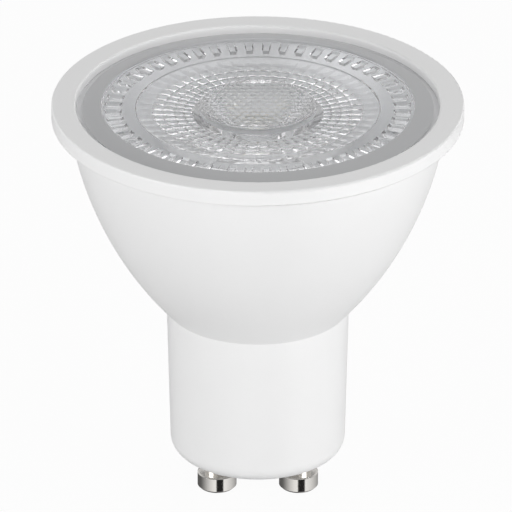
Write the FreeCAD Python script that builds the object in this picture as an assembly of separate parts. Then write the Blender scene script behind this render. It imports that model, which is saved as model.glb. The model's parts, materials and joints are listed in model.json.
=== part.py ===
import FreeCAD, Part
import math
import os

from FreeCAD import Vector

# A spotlight lamp with a twist-and-lock base. Millimetres, +Z from the pin tips to the lens.
# The origin is midway between the two pins, on the plane of their tips.

# Contact pins
pin_spacing = 10.0
pin_head_r = 2.4
pin_head_height = 2.1
pin_head_chamfer = 0.3
pin_neck_r = 1.5
pin_protrusion = 5.5
pin_shank_r = 1.1
pin_rivet_r = 1.8
pin_rivet_height = 0.5
pin_tail_r = 0.7
pin_tail_height = 1.4

# Base cup
base_bottom_r = 10.68
base_top_r = 11.12
base_height = 19.3
base_corner_r = 1.9
base_wall = 1.4
base_floor = 2.0
pin_hole_clearance = 0.05

# Card guides inside the base cup
guide_headroom = 2.3
guide_wall = 0.8
guide_grip = 0.9
guide_clearance = 0.1

# Bowl housing
bowl_height = 25.2
bowl_bulge = 2.33
bowl_wall = 1.4
spigot_length = 4.0
spigot_wall = 1.1
spigot_clearance = 0.1
lip_web = 0.86
rim_overhang = 2.06
rim_height = 2.0
rim_edge_round = 0.25

# Lens seat in the rim
lens_sink = 0.25
lens_clearance = 0.08
seat_width = 1.2
seat_thickness = 1.0

# Lens
lens_flange_r = 22.0
lens_edge_thickness = 0.65
lens_bevel_width = 0.7
lens_bevel_drop = 0.25
etched_width = 2.3
etched_drop = 0.5
dish_r = 15.8
dish_depth = 0.7
disc_r = 7.1
disc_rise = 0.05
disc_edge_round = 0.35
cone_taper = 3.4
foot_width = 1.0
pocket_clearance = 0.5
pocket_taper = 0.3
pocket_depth = 3.1
pocket_lens_bulge = 0.8

# Teeth and facets under the lens, from the flange inwards
column_count = 52
tooth_margin = 2.08
tooth_zone_width = 2.6
tooth_zone_rise = 0.2
tooth_inset = 0.27
tooth_share = 0.5
tooth_height = 0.45
panel_width = 1.3
step_width = 0.15
step_drop = 0.2
facet_zone_width = 6.75
facet_drop = 0.6
facet_ring_shares = (0.0, 0.28, 0.48, 0.67, 0.84, 1.0)
facet_overlap = 0.25

# Honeycomb of small lenses on the disc
cell_pitch = 1.05
cell_height = 0.12
cell_plateau = 0.06
cell_border = 0.05

# Heat sink cup, thermal pad and light engine
cup_floor_drop = 13.0
cup_floor = 1.2
cup_wall = 1.0
cup_clearance = 0.3
cup_rim_gap = 0.3
cup_seat_width = 2.2
cup_seat_thickness = 1.2
cup_corner_r = 0.8
pad_thickness = 0.3
board_r = 13.0
board_thickness = 1.2
lens_foot_gap = 0.3
substrate_border = 0.1
substrate_thickness = 0.6
phosphor_r = 3.1
phosphor_thickness = 0.35
dam_width = 0.4
dam_height = 0.5

# Screws that hold the light engine
screw_ring_r = 10.8
screw_r = 1.0
screw_hole_clearance = 0.2
screw_thread_clearance = 0.02
screw_head_r = 1.7
screw_head_height = 0.8
screw_tip = 1.4
screw_slot_width = 0.4
screw_slot_depth = 0.4

# Driver board, upright in the card guides
card_front_y = 1.6
card_thickness = 1.0
card_side_gap = 0.25
card_lift = 3.0
card_headroom = 2.9

# Wires
wire_r = 0.55
wire_core_r = 0.3
wire_side_gap = 0.4
wire_hole_y = 9.4
wire_bend_r = 3.0
wire_hole_clearance = 0.3
core_hole_clearance = 0.15
wire_stop_gap = 0.4
wire_down = 2.4
solder_r = 0.95
solder_height = 0.75
pin_wire_gap = 0.6
pin_wire_bend_r = 0.7

# Parts on the driver board
lead_r = 0.3
lead_drop = 1.0
lead_bend_r = 0.5
standoff = 0.25
input_can_r = 4.0
input_can_height = 10.0
input_can_lift = 2.8
input_lead_pitch = 3.5
output_can_r = 3.15
output_can_height = 5.0
output_lead_pitch = 2.5
can_groove_depth = 0.35
can_groove_height = 1.5
film_length = 7.2
film_thickness = 3.0
film_height = 6.0
film_lift = 2.4
film_lead_pitch = 5.0
film_round = 0.6
part_gap = 0.6
package_gap = 0.9
bridge_length = 4.7
bridge_width = 3.9
bridge_height = 1.5
bridge_lead_count = 2
bridge_lead_pitch = 2.5
chip_length = 4.9
chip_width = 3.9
chip_height = 1.5
chip_lead_count = 4
chip_lead_pitch = 1.27
package_lead_width = 0.4
package_lead_thickness = 0.2
package_lead_reach = 0.9
inductor_r = 2.9
inductor_height = 4.4
inductor_flange = 0.8
inductor_post_r = 1.4
winding_turns = 7
winding_inset = 0.25
winding_clearance = 0.05
resistor_r = 1.15
resistor_neck_r = 0.85
resistor_length = 6.0
resistor_gap = 1.0
resistor_lead_rise = 1.4

# Heights and radii that follow from the sizes above
base_z = pin_protrusion
floor_z = base_z + base_floor
seam_z = base_z + base_height
lip_z = seam_z + bowl_height
rim_z = lip_z + rim_height
lens_z = rim_z - lens_sink
lens_edge_z = lens_z - etched_drop - lens_bevel_drop
flange_z = lens_edge_z - lens_edge_thickness
cup_floor_z = rim_z - cup_floor_drop
cup_under_z = cup_floor_z - cup_floor
pad_z = cup_floor_z + pad_thickness
board_z = pad_z + board_thickness
lens_foot_z = board_z + substrate_thickness + dam_height + lens_foot_gap
lens_bore_r = lens_flange_r + lens_clearance
seat_inner_r = lens_bore_r - seat_width
bowl_lip_r = lens_bore_r + lip_web
rim_r = bowl_lip_r + rim_overhang
substrate_side = 2 * (phosphor_r + dam_width + substrate_border)
pocket_r = phosphor_r + pocket_clearance
foot_r = pocket_r + foot_width
cone_top_r = foot_r + cone_taper
tooth_outer_r = seat_inner_r - tooth_margin
tooth_inner_r = tooth_outer_r - tooth_zone_width
tooth_z = flange_z + tooth_zone_rise
panel_inner_r = tooth_inner_r - panel_width
facet_outer_r = panel_inner_r - step_width
facet_top_z = tooth_z - step_drop
field_r = disc_r - disc_edge_round - cell_border
bore_floor_r = base_bottom_r - base_wall
bore_top_r = base_top_r - base_wall
spigot_z = seam_z - spigot_length
bore_taper = (bore_top_r - bore_floor_r) / (seam_z - floor_z)
spigot_low_r = bore_floor_r + bore_taper * (spigot_z - floor_z) - spigot_clearance
spigot_bore_r = spigot_low_r - spigot_wall
guide_top_z = spigot_z - guide_headroom
guide_outer_r = bore_floor_r + base_wall / 2
pin_x = pin_spacing / 2
pin_tail_z = floor_z + pin_rivet_height + pin_tail_height
card_back_y = card_front_y + card_thickness
card_bottom_z = floor_z + card_lift
card_top_z = cup_under_z - card_headroom
card_width = 2 * (math.sqrt(min(spigot_bore_r, bore_floor_r) ** 2 - card_back_y ** 2) - card_side_gap)
wire_x = inductor_r + wire_r + wire_side_gap
package_half = max(bridge_width, chip_width) / 2 - package_lead_thickness + package_lead_reach
package_lift = film_lift + film_height + part_gap + package_half
inductor_lift = package_lift + package_half + part_gap + inductor_r
output_can_lift = input_can_lift + input_can_height + part_gap + lead_r + lead_drop

parts = {}


# Outlines in the XZ plane and the solids turned from them

def at(point):
    return Vector(point[0], 0, point[1])


def outline(start, *steps):
    """A closed face: each step is the end of a line, or the middle and end of an arc."""
    edges = []
    here = start
    for step in steps + (start,):
        if isinstance(step[0], tuple):
            middle, end = step
            edges.append(Part.Arc(at(here), at(middle), at(end)).toShape())
        else:
            end = step
            edges.append(Part.makeLine(at(here), at(end)))
        here = end
    return Part.Face(Part.Wire(edges))


def turned(start, *steps):
    return outline(start, *steps).revolve(Vector(0, 0, 0), Vector(0, 0, 1), 360)


def on_circle(centre, radius, degrees):
    angle = math.radians(degrees)
    return (centre[0] + radius * math.cos(angle), centre[1] + radius * math.sin(angle))


def circle_centre(a, b, c):
    """The centre of the circle through three points."""
    (ax, ay), (bx, by), (cx, cy) = a, b, c
    d = 2 * (ax * (by - cy) + bx * (cy - ay) + cx * (ay - by))
    a2, b2, c2 = (x * x + y * y for x, y in (a, b, c))
    x = (a2 * (by - cy) + b2 * (cy - ay) + c2 * (ay - by)) / d
    y = (a2 * (cx - bx) + b2 * (ax - cx) + c2 * (bx - ax)) / d
    return (x, y)


def moved_towards(point, target, distance):
    dx, dy = target[0] - point[0], target[1] - point[1]
    share = distance / math.hypot(dx, dy)
    return (point[0] + dx * share, point[1] + dy * share)


def rod(radius, bottom_z, top_z, x=0.0, y=0.0):
    return Part.makeCylinder(radius, top_z - bottom_z, Vector(x, y, bottom_z))


def block(x0, x1, y0, y1, z0, z1):
    return Part.makeBox(x1 - x0, y1 - y0, z1 - z0, Vector(x0, y0, z0))


def bent_rod(radius, points, bend_r):
    """A round wire along straight runs, with a tangent arc at each corner."""
    edges = []
    here = points[0]
    for before, corner, after in zip(points, points[1:], points[2:]):
        way_in = (corner - before).normalize()
        way_out = (after - corner).normalize()
        half_turn = way_in.getAngle(way_out) / 2
        trim = bend_r * math.tan(half_turn)
        start = corner - way_in * trim
        end = corner + way_out * trim
        inwards = (way_out - way_in).normalize()
        middle = corner + inwards * (bend_r / math.cos(half_turn) - bend_r)
        edges.append(Part.makeLine(here, start))
        edges.append(Part.Arc(start, middle, end).toShape())
        here = end
    edges.append(Part.makeLine(here, points[-1]))
    ring = Part.makeCircle(radius, points[0], points[1] - points[0])
    return Part.Wire(edges).makePipeShell([Part.Wire(ring)], True, False)


# White mouldings

def base_cup():
    """The base: a cup with two pin holes in its floor and a card guide on each side."""
    corner = (base_bottom_r - base_corner_r, base_z + base_corner_r)
    cup = turned(
        (0, base_z),
        (corner[0], base_z),
        (on_circle(corner, base_corner_r, -45), (base_bottom_r, corner[1])),
        (base_top_r, seam_z),
        (bore_top_r, seam_z),
        (bore_floor_r, floor_z),
        (0, floor_z),
    )
    inside = turned(
        (0, floor_z),
        (guide_outer_r, floor_z),
        (guide_outer_r + bore_taper * (guide_top_z - floor_z), guide_top_z),
        (0, guide_top_z),
    )
    slot_front = card_front_y - guide_clearance
    slot_back = card_back_y + guide_clearance
    slot_end = card_width / 2 + guide_clearance
    for side in (-1, 1):
        near = side * (card_width / 2 - guide_grip)
        far = side * base_bottom_r
        guide = block(min(near, far), max(near, far), slot_front - guide_wall, slot_back + guide_wall,
                      floor_z, guide_top_z)
        slot = block(min(near, side * slot_end), max(near, side * slot_end), slot_front, slot_back,
                     card_bottom_z, guide_top_z)
        cup = cup.fuse(guide.common(inside).cut(slot))
        cup = cup.cut(rod(pin_shank_r + pin_hole_clearance, base_z, floor_z, side * pin_x))
    return cup.removeSplitter()


# The bowl's outside is one arc from the seam to the rim, and its inside is the same arc moved in.
bowl_neck = (base_top_r, seam_z)
bowl_middle = ((base_top_r + bowl_lip_r) / 2 + bowl_bulge, (seam_z + lip_z) / 2)
bowl_lip = (bowl_lip_r, lip_z)
bowl_centre = circle_centre(bowl_neck, bowl_middle, bowl_lip)
bowl_inner_radius = math.dist(bowl_centre, bowl_middle) - bowl_wall


def inside_r(z):
    """The radius of the bowl's inside at a height."""
    return bowl_centre[0] + math.sqrt(bowl_inner_radius ** 2 - (z - bowl_centre[1]) ** 2)


def bowl_housing():
    """The bowl: a curved shell with a rim, a lens seat, a cup seat and a spigot for the base."""
    inner_neck = moved_towards(bowl_neck, bowl_centre, bowl_wall)
    inner_middle = moved_towards(bowl_middle, bowl_centre, bowl_wall)
    under_seat_z = flange_z - seat_thickness
    drop_z = under_seat_z - (inside_r(under_seat_z) - seat_inner_r)
    inner_top = (inside_r(drop_z), drop_z)
    shell = turned(
        bowl_neck,
        (bowl_middle, bowl_lip),
        (rim_r - rim_edge_round, lip_z),
        (on_circle((rim_r - rim_edge_round, lip_z + rim_edge_round), rim_edge_round, -45),
         (rim_r, lip_z + rim_edge_round)),
        (rim_r, rim_z - rim_edge_round),
        (on_circle((rim_r - rim_edge_round, rim_z - rim_edge_round), rim_edge_round, 45),
         (rim_r - rim_edge_round, rim_z)),
        (lens_bore_r + rim_edge_round, rim_z),
        (on_circle((lens_bore_r + rim_edge_round, rim_z - rim_edge_round), rim_edge_round, 135),
         (lens_bore_r, rim_z - rim_edge_round)),
        (lens_bore_r, flange_z),
        (seat_inner_r, flange_z),
        (seat_inner_r, under_seat_z),
        inner_top,
        (inner_middle, inner_neck),
        (spigot_bore_r, seam_z),
        (spigot_bore_r, spigot_z),
        (spigot_low_r, spigot_z),
        (bore_top_r - spigot_clearance, seam_z),
    )
    seat_outer_r = inside_r(cup_under_z - cup_seat_thickness) + bowl_wall / 2
    seat_top_r = inside_r(cup_under_z)
    seat = turned(
        (seat_top_r - cup_seat_width, cup_under_z),
        (seat_top_r - cup_seat_width, cup_under_z - cup_seat_thickness),
        (seat_outer_r, cup_under_z - cup_seat_thickness),
        (seat_top_r + bowl_wall / 2, cup_under_z),
    )
    return shell.fuse(seat).removeSplitter()


# Contact pins

def contact_pin(x):
    """A turned pin: locking head, neck, shank through the floor, rivet and solder tail."""
    rivet_z = floor_z + pin_rivet_height
    pin = turned(
        (0, 0),
        (pin_head_r - pin_head_chamfer, 0),
        (pin_head_r, pin_head_chamfer),
        (pin_head_r, pin_head_height - pin_head_chamfer / 2),
        (pin_head_r - pin_head_chamfer / 2, pin_head_height),
        (pin_neck_r, pin_head_height),
        (pin_neck_r, base_z),
        (pin_shank_r, base_z),
        (pin_shank_r, floor_z),
        (pin_rivet_r, floor_z),
        (pin_rivet_r - pin_rivet_height / 2, rivet_z),
        (pin_tail_r, rivet_z),
        (pin_tail_r, pin_tail_z),
        (0, pin_tail_z),
    )
    pin.translate(Vector(x, 0, 0))
    return pin


# Lens

def ring_of_points(radius, z):
    """The corners of one ring of facets."""
    step = 2 * math.pi / column_count
    return [Vector(radius * math.cos(k * step), radius * math.sin(k * step), z)
            for k in range(column_count)]


def flat_face(points):
    return Part.Face(Part.makePolygon(points + [points[0]]))


def closed_solid(faces):
    solid = Part.Solid(Part.Shell(faces))
    if solid.Volume < 0:
        solid.reverse()
    return solid


def faceted_body():
    """The underside's inner zone: rings of flat facets."""
    rings = [ring_of_points(facet_outer_r, facet_top_z + facet_overlap)]
    for share in facet_ring_shares:
        radius = facet_outer_r - facet_zone_width * share
        rings.append(ring_of_points(radius, facet_top_z - facet_drop * share))
    faces = [flat_face(rings[0]), flat_face(rings[-1])]
    for upper, lower in zip(rings, rings[1:]):
        for k in range(column_count):
            after = (k + 1) % column_count
            faces.append(flat_face([upper[k], upper[after], lower[after], lower[k]]))
    return closed_solid(faces)


def teeth():
    """The raised pads in the outer zone, each reaching a little into the lens."""
    middle_r = (tooth_outer_r + tooth_inner_r) / 2
    length = tooth_zone_width - 2 * tooth_inset
    width = 2 * math.pi * middle_r / column_count * tooth_share
    low_z = tooth_z - tooth_height
    pads = []
    for k in range(column_count):
        pad = Part.makeBox(length, width, tooth_height + facet_overlap,
                           Vector(middle_r - length / 2, -width / 2, low_z))
        pad.rotate(Vector(0, 0, 0), Vector(0, 0, 1), (k + 0.5) * 360 / column_count)
        pads.append(pad)
    return pads


def cell_centres():
    """Centres of the hexagonal cells that reach into the round field on the disc."""
    row_step = cell_pitch * math.sqrt(3) / 2
    corner_r = cell_pitch / math.sqrt(3)
    limit = field_r + corner_r
    rows = int(limit / row_step) + 1
    columns = int(limit / cell_pitch) + 1
    centres = []
    for row in range(-rows, rows + 1):
        shift = cell_pitch / 2 * (row % 2)
        for column in range(-columns, columns + 1):
            x, y = column * cell_pitch + shift, row * row_step
            if math.hypot(x, y) <= limit:
                centres.append((x, y))
    return centres


def honeycomb():
    """A round plate whose top is a field of six-sided cells, each with a raised middle."""
    corner_r = cell_pitch / math.sqrt(3)
    low_z = lens_z + disc_rise - cell_plateau
    top_z = low_z + 2 * cell_plateau
    faces = []
    sides = {}
    for x, y in cell_centres():
        corners = [(round(x + corner_r * math.sin(k * math.pi / 3), 6),
                    round(y + corner_r * math.cos(k * math.pi / 3), 6)) for k in range(6)]
        peak = Vector(x, y, top_z + cell_height)
        for a, b in zip(corners, corners[1:] + corners[:1]):
            faces.append(flat_face([Vector(*a, top_z), Vector(*b, top_z), peak]))
            if (b, a) in sides:
                del sides[(b, a)]
            else:
                sides[(a, b)] = True
    for a, b in sides:
        faces.append(flat_face([Vector(*a, top_z), Vector(*b, top_z), Vector(*b, low_z), Vector(*a, low_z)]))
    following = {a: b for a, b in sides}
    loop = [next(iter(following))]
    while following[loop[-1]] != loop[0]:
        loop.append(following[loop[-1]])
    faces.append(flat_face([Vector(*point, low_z) for point in loop]))
    return closed_solid(faces).common(rod(field_r, low_z - cell_plateau, top_z + 2 * cell_height))


def lens():
    """One clear moulding: flange, dished top with a disc, teeth, facets, light cone and LED pocket."""
    disc_z = lens_z + disc_rise
    dish_z = lens_z - dish_depth
    top = turned(
        (0, disc_z),
        (disc_r - disc_edge_round, disc_z),
        (on_circle((disc_r - disc_edge_round, disc_z - disc_edge_round), disc_edge_round, 45),
         (disc_r, disc_z - disc_edge_round)),
        (disc_r, dish_z),
        (dish_r, lens_z),
        (lens_flange_r - lens_bevel_width - etched_width, lens_z),
        (lens_flange_r - lens_bevel_width, lens_edge_z + lens_bevel_drop),
        (lens_flange_r, lens_edge_z),
        (lens_flange_r, flange_z),
        (tooth_outer_r + tooth_zone_rise, flange_z),
        (tooth_outer_r, tooth_z),
        (panel_inner_r, tooth_z),
        (facet_outer_r, facet_top_z),
        (0, facet_top_z),
    )
    cone_z = facet_top_z - facet_drop
    cone = turned(
        (0, cone_z + facet_overlap),
        (cone_top_r, cone_z + facet_overlap),
        (cone_top_r, cone_z),
        (foot_r, lens_foot_z),
        (0, lens_foot_z),
    )
    ceiling_z = lens_foot_z + pocket_depth
    pocket_top_r = pocket_r - pocket_taper
    chord = math.hypot(pocket_top_r, pocket_lens_bulge)
    bulge_r = chord ** 2 / (2 * pocket_lens_bulge)
    half_angle = math.asin(pocket_top_r / bulge_r) / 2
    bulge_centre_z = ceiling_z - pocket_lens_bulge + bulge_r
    bulge_middle = (bulge_r * math.sin(half_angle), bulge_centre_z - bulge_r * math.cos(half_angle))
    pocket = turned(
        (0, lens_foot_z),
        (pocket_r, lens_foot_z),
        (pocket_top_r, ceiling_z),
        (bulge_middle, (0, ceiling_z - pocket_lens_bulge)),
    )
    return top.fuse(teeth() + [faceted_body(), cone, honeycomb()]).cut(pocket).removeSplitter()


# Heat sink and light engine

def wire_places():
    return [(side * wire_x, wire_hole_y) for side in (-1, 1)]


def screw_places():
    return [(side * screw_ring_r, 0) for side in (-1, 1)]


def drilled(solid, places, radius, bottom_z, top_z):
    for x, y in places:
        solid = solid.cut(rod(radius, bottom_z, top_z, x, y))
    return solid


def cup_outer_r(z):
    """The cup's outside is a cone, clear of the lens seat above and of the bowl's wall."""
    low_r = inside_r(cup_under_z) - cup_clearance
    high_r = seat_inner_r - cup_clearance
    share = (z - cup_under_z) / (flange_z - cup_rim_gap - cup_under_z)
    return low_r + (high_r - low_r) * share


def heat_sink_cup():
    """A pressed cup: it stands on the bowl's seat ring and carries the light engine."""
    top_z = flange_z - cup_rim_gap
    low_r = cup_outer_r(cup_under_z)
    inner_r = cup_outer_r(cup_floor_z) - cup_wall
    cup = turned(
        (0, cup_under_z),
        (low_r - cup_corner_r, cup_under_z),
        (on_circle((low_r - cup_corner_r, cup_under_z + cup_corner_r), cup_corner_r, -45),
         (low_r, cup_under_z + cup_corner_r)),
        (cup_outer_r(top_z), top_z),
        (cup_outer_r(top_z) - cup_wall, top_z),
        (inner_r, cup_floor_z),
        (0, cup_floor_z),
    )
    cup = drilled(cup, wire_places(), wire_r + wire_hole_clearance, cup_under_z, cup_floor_z)
    return drilled(cup, screw_places(), screw_r + screw_thread_clearance, cup_under_z, cup_floor_z)


def engine_disc(radius, bottom_z, top_z):
    """A disc of the light engine with its screw holes."""
    disc = rod(radius, bottom_z, top_z)
    return drilled(disc, screw_places(), screw_r + screw_hole_clearance, bottom_z, top_z)


def thermal_pad():
    pad = engine_disc(board_r, cup_floor_z, pad_z)
    return drilled(pad, wire_places(), wire_r + wire_hole_clearance, cup_floor_z, pad_z)


def led_board():
    board = engine_disc(board_r, pad_z, board_z)
    return drilled(board, wire_places(), wire_core_r + core_hole_clearance, pad_z, board_z)


def led_substrate():
    half = substrate_side / 2
    return block(-half, half, -half, half, board_z, board_z + substrate_thickness)


def led_phosphor():
    low_z = board_z + substrate_thickness
    return rod(phosphor_r, low_z, low_z + phosphor_thickness)


def led_dam_ring():
    low_z = board_z + substrate_thickness
    middle = phosphor_r + dam_width / 2
    top_z = low_z + dam_height
    return turned(
        (phosphor_r, low_z),
        (phosphor_r + dam_width, low_z),
        (phosphor_r + dam_width, top_z - dam_width / 2),
        ((middle, top_z), (phosphor_r, top_z - dam_width / 2)),
    )


def board_screws():
    """Two pan-head screws with a slot, through the board and pad into the cup's floor."""
    head_z = board_z + screw_head_height
    edge = screw_head_height / 2
    screws = []
    for x, y in screw_places():
        screw = turned(
            (0, cup_under_z - screw_tip),
            (screw_r / 2, cup_under_z - screw_tip),
            (screw_r, cup_under_z - screw_tip + screw_r / 2),
            (screw_r, board_z),
            (screw_head_r, board_z),
            (screw_head_r, head_z - edge),
            (on_circle((screw_head_r - edge, head_z - edge), edge, 45), (screw_head_r - edge, head_z)),
            (0, head_z),
        )
        slot = block(-screw_head_r, screw_head_r, -screw_slot_width / 2, screw_slot_width / 2,
                     head_z - screw_slot_depth, head_z)
        screw = screw.cut(slot)
        screw.translate(Vector(x, y, 0))
        screws.append(screw)
    return Part.makeCompound(screws)


# Driver board and what is on it

def driver_board():
    half = card_width / 2
    return block(-half, half, card_front_y, card_back_y, card_bottom_z, card_top_z)


def electrolytic(can_r, can_height, lift, lead_pitch):
    """A capacitor can in front of the board, with two leads that bend into the board."""
    bottom_z = card_bottom_z + lift
    y = card_front_y - standoff - can_r
    groove_z = bottom_z + can_groove_height
    can = turned(
        (0, bottom_z),
        (can_r - can_groove_depth, bottom_z),
        (can_r, bottom_z + can_groove_depth),
        (can_r, groove_z - can_groove_depth),
        ((can_r - can_groove_depth, groove_z), (can_r, groove_z + can_groove_depth)),
        (can_r, bottom_z + can_height - can_groove_depth),
        (can_r - can_groove_depth, bottom_z + can_height),
        (0, bottom_z + can_height),
    )
    can.translate(Vector(0, y, 0))
    for side in (-1, 1):
        x = side * lead_pitch / 2
        route = [Vector(x, y, bottom_z), Vector(x, y, bottom_z - lead_drop),
                 Vector(x, card_front_y, bottom_z - lead_drop)]
        can = can.fuse(bent_rod(lead_r, route, lead_bend_r))
    return can.removeSplitter()


def film_capacitor():
    """A boxed capacitor behind the board, on two short leads."""
    low_z = card_bottom_z + film_lift
    near_y = card_back_y + standoff
    half = film_length / 2
    box = block(-half, half, near_y, near_y + film_thickness, low_z, low_z + film_height)
    far_edges = [edge for edge in box.Edges if edge.CenterOfMass.y > near_y + film_thickness / 2]
    box = box.makeFillet(film_round, far_edges)
    for side in (-1, 1):
        foot = Vector(side * film_lead_pitch / 2, card_back_y, low_z + film_height / 2)
        box = box.fuse(Part.makeCylinder(lead_r, standoff + film_round, foot, Vector(0, 1, 0)))
    return box.removeSplitter()


def package(x, length, width, height, lead_count, lead_pitch):
    """A moulded chip behind the board, with bent leads along its two long sides."""
    mid_z = card_bottom_z + package_lift
    body_y = card_back_y + package_lead_thickness / 2
    body = block(x - length / 2, x + length / 2, body_y, body_y + height,
                 mid_z - width / 2, mid_z + width / 2)
    knee_y = card_back_y + height / 2
    thick = package_lead_thickness
    reach = package_lead_reach
    for side in (-1, 1):
        for k in range(lead_count):
            lead_x = x + (k - (lead_count - 1) / 2) * lead_pitch
            out_z = width / 2 - thick
            bend_z = out_z + reach / 2
            corners = [(card_back_y, out_z + reach), (card_back_y + thick, out_z + reach),
                       (card_back_y + thick, bend_z + thick), (knee_y + thick, bend_z + thick),
                       (knee_y + thick, out_z), (knee_y, out_z), (knee_y, bend_z), (card_back_y, bend_z)]
            points = [Vector(lead_x - package_lead_width / 2, y, mid_z + side * z) for y, z in corners]
            body = body.fuse(flat_face(points).extrude(Vector(package_lead_width, 0, 0)))
    return body.removeSplitter()


def on_back_of_card(solid, lift):
    """Stands a turned piece on the board's back, its axis pointing away from the board."""
    solid.rotate(Vector(0, 0, 0), Vector(1, 0, 0), -90)
    solid.translate(Vector(0, card_back_y, card_bottom_z + lift))
    return solid


def inductor_core():
    """A drum of ferrite: two flanges on a post."""
    upper = inductor_height - inductor_flange
    drum = turned(
        (0, 0),
        (inductor_r, 0),
        (inductor_r, inductor_flange),
        (inductor_post_r, inductor_flange),
        (inductor_post_r, upper),
        (inductor_r, upper),
        (inductor_r, inductor_height),
        (0, inductor_height),
    )
    return on_back_of_card(drum, inductor_lift)


def inductor_winding():
    """The wound wire between the flanges, its outside ribbed by the turns."""
    low = inductor_flange + winding_clearance
    high = inductor_height - inductor_flange - winding_clearance
    turn = (high - low) / winding_turns
    outer = inductor_r - winding_inset - turn / 2
    inner = inductor_post_r + winding_clearance
    steps = [(outer, low)]
    for k in range(winding_turns):
        base = low + k * turn
        steps.append(((outer + turn / 2, base + turn / 2), (outer, base + turn)))
    coil = turned((inner, low), *steps, (inner, high))
    return on_back_of_card(coil, inductor_lift)


def fusible_resistor():
    """A resistor above the left pin and the card guide, its upper lead bent into the board."""
    low_z = guide_top_z + resistor_gap
    high_z = low_z + resistor_length
    cap = resistor_length / 4
    ease = resistor_r - resistor_neck_r
    body = turned(
        (0, low_z),
        (resistor_r - ease, low_z),
        (resistor_r, low_z + ease),
        (resistor_r, low_z + cap),
        (resistor_neck_r, low_z + cap + ease),
        (resistor_neck_r, high_z - cap - ease),
        (resistor_r, high_z - cap),
        (resistor_r, high_z - ease),
        (resistor_r - ease, high_z),
        (0, high_z),
    )
    body.translate(Vector(-pin_x, 0, 0))
    turn_z = high_z + resistor_lead_rise
    route = [Vector(-pin_x, 0, high_z), Vector(-pin_x, 0, turn_z), Vector(-pin_x, card_front_y, turn_z)]
    lower = rod(lead_r, pin_tail_z, low_z, -pin_x)
    return body.fuse([lower, bent_rod(lead_r, route, lead_bend_r)]).removeSplitter()


# Wires

def pin_wire():
    """From the right pin's tail, over the card guide, to the front of the driver board."""
    turn_z = guide_top_z + pin_wire_gap + wire_r
    route = [Vector(pin_x, 0, pin_tail_z), Vector(pin_x, 0, turn_z), Vector(pin_x, card_front_y, turn_z)]
    return bent_rod(wire_r, route, pin_wire_bend_r)


def output_wire(place):
    """From the driver board's back, up through the cup, its core soldered on the light engine."""
    x, y = place
    turn_z = card_top_z - wire_down
    stop_z = pad_z - wire_stop_gap
    route = [Vector(x, card_back_y, turn_z), Vector(x, y, turn_z), Vector(x, y, stop_z)]
    jacket = bent_rod(wire_r, route, wire_bend_r)
    core = rod(wire_core_r, stop_z, board_z, x, y)
    solder = Part.makeCone(solder_r, wire_core_r, solder_height, Vector(x, y, board_z))
    return jacket.fuse([core, solder]).removeSplitter()


parts["bowl_housing"] = bowl_housing()
parts["base_cup"] = base_cup()
parts["contact_pin_left"] = contact_pin(-pin_x)
parts["contact_pin_right"] = contact_pin(pin_x)
parts["lens"] = lens()
parts["heat_sink_cup"] = heat_sink_cup()
parts["thermal_pad"] = thermal_pad()
parts["led_board"] = led_board()
parts["led_substrate"] = led_substrate()
parts["led_phosphor"] = led_phosphor()
parts["led_dam_ring"] = led_dam_ring()
parts["board_screws"] = board_screws()
parts["driver_board"] = driver_board()
parts["input_capacitor"] = electrolytic(input_can_r, input_can_height, input_can_lift, input_lead_pitch)
parts["output_capacitor"] = electrolytic(output_can_r, output_can_height, output_can_lift, output_lead_pitch)
parts["film_capacitor"] = film_capacitor()
parts["bridge_rectifier"] = package(-(package_gap + bridge_length) / 2, bridge_length, bridge_width,
                                    bridge_height, bridge_lead_count, bridge_lead_pitch)
parts["driver_chip"] = package((package_gap + chip_length) / 2, chip_length, chip_width,
                               chip_height, chip_lead_count, chip_lead_pitch)
parts["inductor_core"] = inductor_core()
parts["inductor_winding"] = inductor_winding()
parts["fusible_resistor"] = fusible_resistor()
parts["pin_wire"] = pin_wire()
for wire_name, wire_place in zip(("output_wire_positive", "output_wire_negative"), wire_places()):
    parts[wire_name] = output_wire(wire_place)

os.makedirs("parts", exist_ok=True)
for node, shape in parts.items():
    if not shape.isValid() or not shape.Solids:
        raise ValueError("the solid of " + node + " is not sound")
    shape.exportStep("parts/" + node + ".step")
    print(node, len(shape.Solids), "solid,", round(shape.Volume, 2), "cubic mm")
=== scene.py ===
# %% [markdown]
# A spotlight lamp with a twist-and-lock base, dressed for a studio picture. The solids come from the
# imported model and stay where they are. This lesson gives each of them its finish, and models the one
# piece whose beauty is in its small shapes: the clear lens with its rings of facets.

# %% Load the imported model
import json
import math

import bpy
from mathutils import Matrix, Vector


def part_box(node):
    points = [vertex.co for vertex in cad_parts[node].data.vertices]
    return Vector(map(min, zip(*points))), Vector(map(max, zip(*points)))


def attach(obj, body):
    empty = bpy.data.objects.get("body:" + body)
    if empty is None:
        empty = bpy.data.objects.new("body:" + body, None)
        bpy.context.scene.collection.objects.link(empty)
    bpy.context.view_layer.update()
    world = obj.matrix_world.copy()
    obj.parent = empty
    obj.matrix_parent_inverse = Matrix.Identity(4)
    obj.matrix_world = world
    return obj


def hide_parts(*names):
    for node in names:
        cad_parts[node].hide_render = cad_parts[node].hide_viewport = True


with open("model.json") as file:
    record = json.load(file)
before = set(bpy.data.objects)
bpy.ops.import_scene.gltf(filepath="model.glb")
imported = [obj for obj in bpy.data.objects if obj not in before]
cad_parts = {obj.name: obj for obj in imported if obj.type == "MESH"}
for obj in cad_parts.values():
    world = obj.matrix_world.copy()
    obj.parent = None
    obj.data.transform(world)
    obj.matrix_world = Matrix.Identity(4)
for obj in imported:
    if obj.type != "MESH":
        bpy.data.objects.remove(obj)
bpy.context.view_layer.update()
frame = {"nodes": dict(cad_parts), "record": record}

nodes = frame["nodes"]
MM = 0.001
print("solids in the frame:", len(nodes))

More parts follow.
